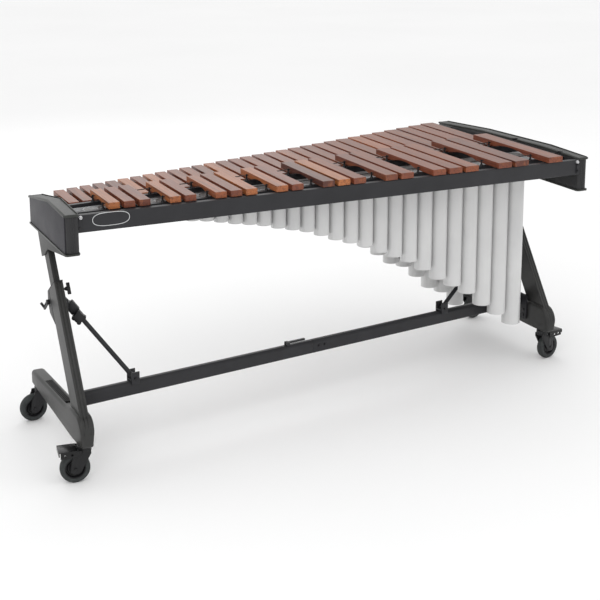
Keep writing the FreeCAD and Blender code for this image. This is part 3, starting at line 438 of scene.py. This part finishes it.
# Sections of a foot, from its rear end forward: how far forward, how far the sole is off its
# level, how high the top is, and half the width.
FOOT_STATIONS = (
    (0.0, 0.006, 0.037, 0.0140), (-0.003, 0.002, 0.044, 0.0175), (-0.009, 0, 0.0475, 0.0215),
    (-0.018, 0, 0.0495, 0.0245), (-0.1, 0, 0.056, 0.025), (-0.1676, 0, 0.0612, 0.025),
    (-0.1680, 0, 0.0612, 0.025), (-0.4260, 0, 0.0814, 0.025), (-0.4264, 0, 0.0814, 0.025),
    (-0.458, 0, 0.0842, 0.025), (-0.484, 0, 0.0895, 0.025), (-0.512, 0, 0.098, 0.025),
    (-0.540, 0, 0.1035, 0.025), (-0.606, 0, 0.1035, 0.025), (-0.616, 0, 0.1015, 0.025),
    (-0.626, 0, 0.0965, 0.0248), (-0.635, 0.0005, 0.089, 0.0245), (-0.642, 0.002, 0.080, 0.0238),
    (-0.6475, 0.005, 0.070, 0.0228), (-0.651, 0.010, 0.060, 0.0212), (-0.653, 0.018, 0.050, 0.0190),
)
TREAD_RECESS = (-0.427, -0.1678)    # where the foot's top is sunk for the ribbed tread
RECESS_DEPTH = 0.0045
NOSE_FROM = -0.60                   # the nose, which carries two fine grooves
GROOVE_DEPTH = 0.0024
WAIST_FROM, WAIST_OVER, WAIST_DEPTH = -0.56, 0.06, 0.0045


def middle(node):
    """The middle of a CAD node's box."""
    low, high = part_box(node)
    return (Vector(low) + Vector(high)) / 2


def foot_ring(x, y, low, high, half, groove, recess, waist):
    """One section across a foot: rounded corners, two fine grooves and the tread's shallow recess."""
    top = [(0, recess), (0.0038, recess), (0.0055, recess + groove), (0.0072, recess), (0.0124, recess),
           (0.0128, 0.0)]
    corner, sole = min(0.012, half * 0.45), 0.006
    for k in range(6):
        turn = math.pi / 2 * k / 5
        top.append((half - corner + corner * math.sin(turn), corner - corner * math.cos(turn)))
    points = [(out, high - depth) for out, depth in top]
    for k in range(4):
        turn = math.pi / 2 * k / 3
        points.append((waist - sole + sole * math.cos(turn), low + sole - sole * math.sin(turn)))
    mirrored = [(-out, z) for out, z in reversed(points) if out > 0]
    return [Vector((x + out, y, z)) for out, z in points + mirrored]


def dress_foot(end):
    """The foot: an arm with a sloping rounded top that swells into a swan-neck nose under the mast."""
    node = "foot_" + end
    low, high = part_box(node)
    x, rear, sole = (low[0] + high[0]) / 2, high[1], low[2]
    rings = []
    for back, rise, top, half in FOOT_STATIONS:
        groove = GROOVE_DEPTH if back < NOSE_FROM else 0.0
        waist = half - WAIST_DEPTH * min(1, max(0, (WAIST_FROM - back) / WAIST_OVER))
        recess = RECESS_DEPTH if TREAD_RECESS[0] < back < TREAD_RECESS[1] else 0.0
        rings.append(foot_ring(x, rear + back, sole + rise, sole + top, half, groove, recess, waist))
    name = node + "_casting"
    piece = add_piece(name, mesh_of(loft(rings), name), slot_of[node], node_body[node], 28)
    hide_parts(node)


def dress_wheel(name):
    """A caster wheel: a crowned tyre and a hub with a rim, a deep ring and a raised boss."""
    tyre, hub = "tyre_" + name, "wheel_" + name
    centre = middle(tyre)
    axle = axle_of(tyre)
    body = node_body[tyre]
    half, radius, rim = 0.014, 0.0499, 0.035
    profile = [(rim, -half + 0.001), (rim + 0.004, -half), (radius - 0.006, -half),
               (radius - 0.003, -half + 0.0015), (radius - 0.0008, -half + 0.005), (radius, -0.004),
               (radius, 0.004), (radius - 0.0008, half - 0.005), (radius - 0.003, half - 0.0015),
               (radius - 0.006, half), (rim + 0.004, half), (rim, half - 0.001)]
    piece = add_piece(tyre + "_crowned", mesh_of(lathe(profile, centre, axle, 72), tyre), "tyre", body, 40)
    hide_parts(tyre)
    face = [(0.0055, 0.0055), (0.0100, 0.0060), (0.0115, 0.0050), (0.0120, 0.0015), (0.0180, 0.0020),
            (0.0200, 0.0045), (0.0235, 0.0050), (0.0250, 0.0025), (0.0270, 0.0010), (0.0290, 0.0015),
            (0.0300, 0.0100), (0.0320, 0.0130), (0.0345, 0.0128)]
    profile = face + [(out, -along) for out, along in reversed(face)]
    piece = add_piece(hub + "_dished", mesh_of(lathe(profile, centre, axle, 72), hub), slot_of[hub], body, 30)
    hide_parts(hub)


def axle_of(tyre):
    """A wheel's axle direction: the level direction in which its tyre is thinnest."""
    centre = middle(tyre)
    best = None
    for step in range(180):
        turn = math.radians(step)
        way = Vector((math.cos(turn), math.sin(turn), 0))
        reach = max(abs((vertex.co - centre).dot(way)) for vertex in nodes[tyre].data.vertices)
        if best is None or reach < best[0]:
            best = (reach, way)
    return best[1]


# ---------------------------------------------------------------- keyboard frame

BADGE_FROM_END, BADGE_HEIGHT = 0.110, 0.862     # from the beam's treble end, and above the floor
BADGE = (0.0600, 0.0205)                        # half its length and half its height
BADGE_EDGE = (0.0620, 0.0225)                   # the same to the outside of its outline


def dress_badge():
    """A plain oval plate on the audience side of the beam: no lettering, only its pale outline."""
    points = [vertex.co for vertex in nodes["audience_beam"].data.vertices]
    left = min(points, key=lambda p: (round(p.x, 4), p.y))
    right = max(points, key=lambda p: (round(p.x, 4), -p.y))
    slope = (right.y - left.y) / (right.x - left.x)
    centre_x, centre_z = left.x + BADGE_FROM_END, BADGE_HEIGHT
    y = left.y + slope * (centre_x - left.x)

    def ring(width, height, out):
        made = []
        for k in range(64):
            turn = 2 * math.pi * k / 64
            across = math.copysign(abs(math.cos(turn)) ** 0.62, math.cos(turn)) * width
            rise = math.copysign(abs(math.sin(turn)) ** 0.85, math.sin(turn)) * height
            made.append(Vector((centre_x + across, y + slope * across + out, centre_z + rise)))
        return made

    plate = loft([ring(*BADGE, 0.0002), ring(*BADGE, -0.0006)])
    add_piece("badge_plate", mesh_of(plate, "badge_plate"), "frame_black", node_body["audience_beam"])
    outline = loft([ring(*BADGE, 0.0002), ring(*BADGE_EDGE, 0.0002), ring(*BADGE_EDGE, -0.0009),
                    ring(*BADGE, -0.0009), ring(*BADGE, 0.0002)], False)
    bmesh.ops.remove_doubles(outline, verts=outline.verts, dist=1e-6)
    add_piece("badge_outline", mesh_of(outline, "badge_outline"), "silver", node_body["audience_beam"])


def dress_caps():
    """The end caps, with a raised border round the top of each."""
    bm = solid_copy("end_caps")
    tops = [face for face in bm.faces if face.normal.z > 0.9 and face.calc_center_median().z > 0.83]
    bmesh.ops.inset_region(bm, faces=tops, thickness=0.0045, use_even_offset=True)
    bmesh.ops.inset_region(bm, faces=tops, thickness=0.0010, depth=-0.0012)
    round_edges(bm, 0.0006)
    piece = add_piece("end_caps_bordered", mesh_of(bm, "end_caps_bordered"), slot_of["end_caps"],
                      node_body["end_caps"], 25)
    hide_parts("end_caps")


def dress_column(end):
    """Three fine upright ribs on the rounded front of an end block."""
    node = "end_block_" + end
    low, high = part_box(node)
    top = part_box("audience_beam")[1][2]
    bm = bmesh.new()
    for place in (-0.0065, 0.0, 0.0065):
        x = (low[0] + high[0]) / 2 + place
        rings = []
        for z, size in ((low[2] + 0.001, 0.4), (low[2] + 0.003, 1.0), (top - 0.003, 1.0), (top - 0.001, 0.4)):
            ring = []
            for k in range(10):
                turn = 2 * math.pi * k / 10
                across, out = 0.0014 * size * math.cos(turn), 0.0012 * size * math.sin(turn)
                ring.append(Vector((x + across, low[1] + out, z)))
            rings.append(ring)
        join(bm, loft(rings))
    name = node + "_ribs"
    add_piece(name, mesh_of(bm, name), slot_of[node], node_body[node], 50)


def dress_beam_pins():
    """The bright cap screw at each end of the audience beam."""
    low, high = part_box("audience_beam")
    points = [vertex.co for vertex in nodes["audience_beam"].data.vertices]
    bm = bmesh.new()
    for x in (low[0] + 0.010, high[0] - 0.010):
        near = [p for p in points if abs(p.x - x) < 0.012]
        face = min(p.y for p in near)
        shape = [(0.0008, 0.0002), (0.0008, -0.0048), (0.0022, -0.0050), (0.0030, -0.0062),
                 (0.0048, -0.0060), (0.0054, -0.0050), (0.0054, -0.0008), (0.0068, -0.0006),
                 (0.0068, 0.0002)]
        join(bm, lathe(shape, (x, face, high[2] - 0.008), (0, 1, 0), 24))
    add_piece("beam_end_screws", mesh_of(bm, "beam_end_screws"), "steel", node_body["audience_beam"], 35)


def dress_tube_rims():
    """A rolled bead round the mouth of every resonator."""
    for row in ("natural", "accidental"):
        node = "resonators_" + row
        mesh = nodes[node].data
        bm = bmesh.new()
        for group in islands(mesh):
            low, high = span(mesh, group)
            if high.z - low.z < 0.01:    # not a tube
                continue
            radius = (high.x - low.x) / 2
            centre = Vector(((low.x + high.x) / 2, (low.y + high.y) / 2, high.z))
            bead = [(radius - 0.0015, -0.0016), (radius + 0.0008, -0.0016), (radius + 0.0012, -0.0008),
                    (radius + 0.0008, 0.0004), (radius - 0.0006, 0.0008), (radius - 0.0017, 0.0002)]
            join(bm, lathe(bead, centre, (0, 0, 1), 40))
        name = "resonator_rims_" + row
        add_piece(name, mesh_of(bm, name), "silver", node_body[node], 50)


# ---------------------------------------------------------------- every piece, in order

for node in sorted(nodes):
    dress(nodes[node], slot_of[node])
    smooth(nodes[node])
for node, tones in TONES.items():
    dress_bars(node, tones)
for end in ENDS:
    dress_foot(end)
    refine("end_block_" + end, 0.0015)
    refine("lock_knob_" + end, 0.0012)
    refine("lift_lever_" + end, 0.0010)
    refine("strut_knob_" + end, 0.0016)
for name in CASTERS:
    dress_wheel(name)
    refine("caster_fork_" + name, 0.0012)
for node in ("mast_high", "mast_low", "crossbar_high", "crossbar_low", "end_panels", "audience_beam",
             "mast_brackets", "mast_collars", "strut_sleeves", "stand_brackets", "crossbar_lever"):
    refine(node, 0.0008)
pedals = [refine("brake_pedal_" + name, 0.0008) for name in ("high_front", "low_front")]
dress_badge()
dress_caps()
for end in ENDS:
    dress_column(end)
dress_beam_pins()
dress_tube_rims()
for node in ("beam_bracket_bolts", "stand_bolts", "cord_springs_and_hooks"):
    dress(nodes[node], "blackened")
dress(nodes["resonator_strips"], "strip")
for piece in pedals:
    dress(piece, "gloss_black")


# ---------------------------------------------------------------- floor, light and camera

def studio():
    """A pale seamless floor, a white surrounding and three soft area lights."""
    floor_mesh = bpy.data.meshes.new("floor")
    half = 30.0
    floor_mesh.from_pydata([(-half, -half, 0), (half, -half, 0), (half, half, 0), (-half, half, 0)], [],
                           [(0, 1, 2, 3)])
    floor = bpy.data.objects.new("floor", floor_mesh)
    bpy.context.scene.collection.objects.link(floor)
    paper = Surface("floor_paper", (0.93, 0.93, 0.93), 0.9, specular=0.1)
    cloud = paper.noise(paper.place((0.5, 0.5, 0.5)), 1.0, 2.0)
    paper.drive("Base Color", paper.ramp(cloud, [(0.3, (0.92, 0.92, 0.92)), (0.7, (0.94, 0.94, 0.94))]))
    floor_mesh.materials.append(paper.material)

    world = bpy.data.worlds.new("studio")
    bpy.context.scene.world = world
    world.use_nodes = True
    background = world.node_tree.nodes["Background"]
    background.inputs[0].default_value = (1.0, 1.0, 1.0, 1)
    background.inputs[1].default_value = 1.0

    lights = {
        "key": ((-2.6, -3.6, 3.8), 3.0, 45.0),
        "fill": ((3.6, -3.0, 2.6), 3.0, 10.0),
        "back": ((0.4, 4.2, 3.4), 4.0, 30.0),
    }
    for name, (place, size, power) in lights.items():
        lamp = bpy.data.lights.new(name, "AREA")
        lamp.shape = "SQUARE"
        lamp.size = size
        lamp.energy = power
        obj = bpy.data.objects.new(name, lamp)
        obj.location = place
        obj.rotation_euler = (Vector((0, 0, 0.5)) - obj.location).to_track_quat("-Z", "Y").to_euler()
        bpy.context.scene.collection.objects.link(obj)


def camera():
    """The camera, at the photograph's angle, distance and field of view."""
    yaw, pitch, roll = 0.4510, 0.2049, -0.0031
    ahead = Vector((math.sin(yaw) * math.cos(pitch), math.cos(yaw) * math.cos(pitch), -math.sin(pitch)))
    level = Vector((math.cos(yaw), -math.sin(yaw), 0))
    above = level.cross(ahead)
    right = level * math.cos(roll) + above * math.sin(roll)
    up = above * math.cos(roll) - level * math.sin(roll)
    data = bpy.data.cameras.new("camera")
    data.sensor_width = 36
    data.lens = 75.03
    data.shift_y = -0.25
    data.clip_end = 100
    obj = bpy.data.objects.new("camera", data)
    turn = Matrix((right, up, -ahead)).transposed()
    obj.matrix_world = Matrix.Translation((-2.0134, -4.1909, 1.8895)) @ turn.to_4x4()
    bpy.context.scene.collection.objects.link(obj)
    bpy.context.scene.camera = obj


studio()
camera()
bpy.context.scene.view_settings.view_transform = "Standard"
